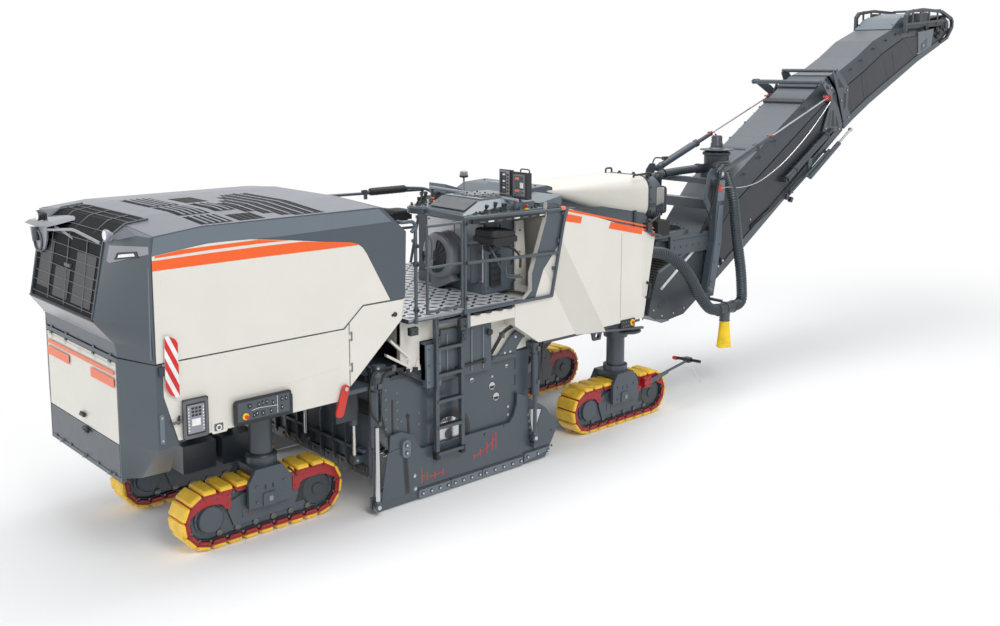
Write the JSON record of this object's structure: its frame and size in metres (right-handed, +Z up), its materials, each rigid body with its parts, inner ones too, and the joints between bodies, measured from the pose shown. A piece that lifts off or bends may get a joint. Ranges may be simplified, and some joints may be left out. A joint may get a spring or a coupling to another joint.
{
  "type": "large track-mounted cold planer",
  "caption": "Four-track cold planer with a milling drum between its axles, an operator platform, lifting columns and a slewing, folding discharge conveyor.",
  "frame": {"origin": "centre of the whole machine's box, on the ground", "axes": "+X forward, towards the discharge conveyor; +Y left; +Z up"},
  "size_m": [15.565, 2.586, 5.4],
  "materials": {
    "slate_paint": "satin slate-grey paint",
    "cream_paint": "satin cream paint",
    "orange_paint": "orange stripe paint",
    "red_paint": "dark red paint",
    "track_pad": "yellow polyurethane pads on a dark red chain",
    "cast_grey": "bare cast and forged steel",
    "bare_metal": "bright sheet metal",
    "chrome_rod": "hard-chromed rod",
    "black_plastic": "matt black moulding",
    "black_rubber": "black hose rubber",
    "black_mesh": "perforated black screen",
    "seat_fabric": "black seat covering",
    "lamp_glass": "clear lamp lens",
    "mirror_glass": "mirror"
  },
  "bodies": {
    "chassis": {"main_frame": "slate_paint", "deck_plate": "slate_paint", "guide_sleeves": "slate_paint", "tie_down_eyes": "slate_paint", "middle_body": "cream_paint", "slewing_support": "slate_paint", "engine_block": "cast_grey", "rear_weights": "slate_paint", "rear_body": "slate_paint", "side_panels": "cream_paint", "side_controls": "black_plastic", "platform_floor": "slate_paint", "railings": "slate_paint", "console": "slate_paint", "air_cleaner": "bare_metal", "operator_seats": "seat_fabric", "ladders": "slate_paint", "tool_boxes": "slate_paint", "front_body": "cream_paint", "primary_conveyor": "cream_paint", "drum_housing": "slate_paint", "lift_cylinders": "slate_paint"},
    "hood": {"engine_hood": "slate_paint", "rear_screen": "black_mesh"},
    "upper_flap": {"rear_flap_upper": "cream_paint"},
    "lower_flap": {"rear_flap_lower": "slate_paint"},
    "door_right": {"service_door_right": "cream_paint"},
    "door_left": {"service_door_left": "cream_paint"},
    "gate_right": {"gate_right": "slate_paint"},
    "gate_left": {"gate_left": "slate_paint"},
    "drum": {"milling_drum": "cast_grey"},
    "plate_right": {"side_plate_right": "slate_paint"},
    "plate_left": {"side_plate_left": "slate_paint"},
    "scraper": {"scraper_blade": "slate_paint"},
    "column_rear_right": {"lifting_column_rear_right": "slate_paint"},
    "track_rear_right": {"track_rear_right": "track_pad", "track_frame_rear_right": "slate_paint"},
    "column_rear_left": {"lifting_column_rear_left": "slate_paint"},
    "track_rear_left": {"track_rear_left": "track_pad", "track_frame_rear_left": "slate_paint"},
    "column_front_right": {"lifting_column_front_right": "slate_paint"},
    "track_front_right": {"track_front_right": "track_pad", "track_frame_front_right": "slate_paint"},
    "column_front_left": {"lifting_column_front_left": "slate_paint"},
    "track_front_left": {"track_front_left": "track_pad", "track_frame_front_left": "slate_paint"},
    "swivel": {"swivel_frame": "slate_paint", "dust_riser": "black_plastic"},
    "lower_belt": {"conveyor_lower": "slate_paint", "suction_fan": "black_plastic", "fold_barrels": "slate_paint"},
    "upper_belt": {"conveyor_upper": "slate_paint"},
    "fold_rods": {"fold_rods": "chrome_rod"},
    "luff_barrels": {"luff_barrels": "slate_paint"},
    "luff_rods": {"luff_rods": "chrome_rod"}
  },
  "joints": [
    {"name": "hood_lift", "type": "hinge", "parent": "chassis", "child": "hood", "pos_m": [-7.6195, 0, 1.965], "axis": [0, -1, 0], "range_deg": [0, 50]},
    {"name": "upper_flap_hinge", "type": "hinge", "parent": "chassis", "child": "upper_flap", "pos_m": [-7.6305, 0, 1.91], "axis": [0, 1, 0], "range_deg": [0, 85]},
    {"name": "lower_flap_hinge", "type": "hinge", "parent": "chassis", "child": "lower_flap", "pos_m": [-7.6305, 0, 0.908], "axis": [0, -1, 0], "range_deg": [0, 90]},
    {"name": "door_right_hinge", "type": "hinge", "parent": "chassis", "child": "door_right", "pos_m": [-5.5735, -1.25, 1.8], "axis": [0, 0, -1], "range_deg": [0, 100]},
    {"name": "gate_right_hinge", "type": "hinge", "parent": "chassis", "child": "gate_right", "pos_m": [-4.1775, -1.275, 2.5], "axis": [0, 0, -1], "range_deg": [0, 90]},
    {"name": "door_left_hinge", "type": "hinge", "parent": "chassis", "child": "door_left", "pos_m": [-5.5735, 1.25, 1.8], "axis": [0, 0, 1], "range_deg": [0, 100]},
    {"name": "gate_left_hinge", "type": "hinge", "parent": "chassis", "child": "gate_left", "pos_m": [-4.1775, 1.275, 2.5], "axis": [0, 0, 1], "range_deg": [0, 90]},
    {"name": "drum_spin", "type": "hinge", "parent": "chassis", "child": "drum", "pos_m": [-4.2275, 0, 0.59], "axis": [0, 1, 0], "continuous": true},
    {"name": "plate_right_lift", "type": "slide", "parent": "chassis", "child": "plate_right", "axis": [0, 0, 1], "range_m": [0, 0.25]},
    {"name": "plate_left_lift", "type": "slide", "parent": "chassis", "child": "plate_left", "axis": [0, 0, 1], "range_m": [0, 0.25]},
    {"name": "scraper_lift", "type": "slide", "parent": "chassis", "child": "scraper", "axis": [0, 0, 1], "range_m": [0, 0.3]},
    {"name": "lift_rear_right", "type": "slide", "parent": "chassis", "child": "column_rear_right", "axis": [0, 0, 1], "range_m": [-0.1, 0.34]},
    {"name": "steer_rear_right", "type": "hinge", "parent": "column_rear_right", "child": "track_rear_right", "pos_m": [-6.2075, -0.654, 0.735], "axis": [0, 0, 1], "range_deg": [-20, 20]},
    {"name": "lift_rear_left", "type": "slide", "parent": "chassis", "child": "column_rear_left", "axis": [0, 0, 1], "range_m": [-0.1, 0.34]},
    {"name": "steer_rear_left", "type": "hinge", "parent": "column_rear_left", "child": "track_rear_left", "pos_m": [-6.2075, 0.654, 0.735], "axis": [0, 0, 1], "range_deg": [-20, 20]},
    {"name": "lift_front_right", "type": "slide", "parent": "chassis", "child": "column_front_right", "axis": [0, 0, 1], "range_m": [-0.1, 0.34]},
    {"name": "steer_front_right", "type": "hinge", "parent": "column_front_right", "child": "track_front_right", "pos_m": [-1.3275, -0.776, 0.735], "axis": [0, 0, 1], "range_deg": [-25, 25]},
    {"name": "lift_front_left", "type": "slide", "parent": "chassis", "child": "column_front_left", "axis": [0, 0, 1], "range_m": [-0.1, 0.34]},
    {"name": "steer_front_left", "type": "hinge", "parent": "column_front_left", "child": "track_front_left", "pos_m": [-1.3275, 0.776, 0.735], "axis": [0, 0, 1], "range_deg": [-25, 25]},
    {"name": "slew", "type": "hinge", "parent": "chassis", "child": "swivel", "pos_m": [0.2425, 0, 2.2], "axis": [0, 0, 1], "range_deg": [-60, 60]},
    {"name": "luff", "type": "hinge", "parent": "swivel", "child": "lower_belt", "pos_m": [0.7925, 0, 1.35], "axis": [0, -1, 0], "range_deg": [-20, 3]},
    {"name": "fold", "type": "hinge", "parent": "lower_belt", "child": "upper_belt", "pos_m": [4.2925, 0, 3.33], "axis": [0, 1, 0], "range_deg": [0, 170]},
    {"name": "luff_barrel_tilt", "type": "hinge", "parent": "swivel", "child": "luff_barrels", "pos_m": [0.9825, 0, 2.93], "axis": [0, -1, 0], "range_deg": [-22.94, 3.7]},
    {"name": "luff_rod_stroke", "type": "slide", "parent": "luff_barrels", "child": "luff_rods", "axis": [0.9402, 0, 0.3407], "range_m": [-0.09, 0.543]},
    {"name": "fold_rod_stroke", "type": "slide", "parent": "lower_belt", "child": "fold_rods", "axis": [0.853, 0, 0.5219], "range_m": [-0.3039, 0.005]}
  ],
  "couplings": [
    {"joint": "luff_barrel_tilt", "follows": "luff", "ratio": 1.1318},
    {"joint": "luff_rod_stroke", "follows": "luff", "m_per_rad": -1.5265},
    {"joint": "fold_rod_stroke", "follows": "fold", "m_per_rad": -0.10073}
  ]
}
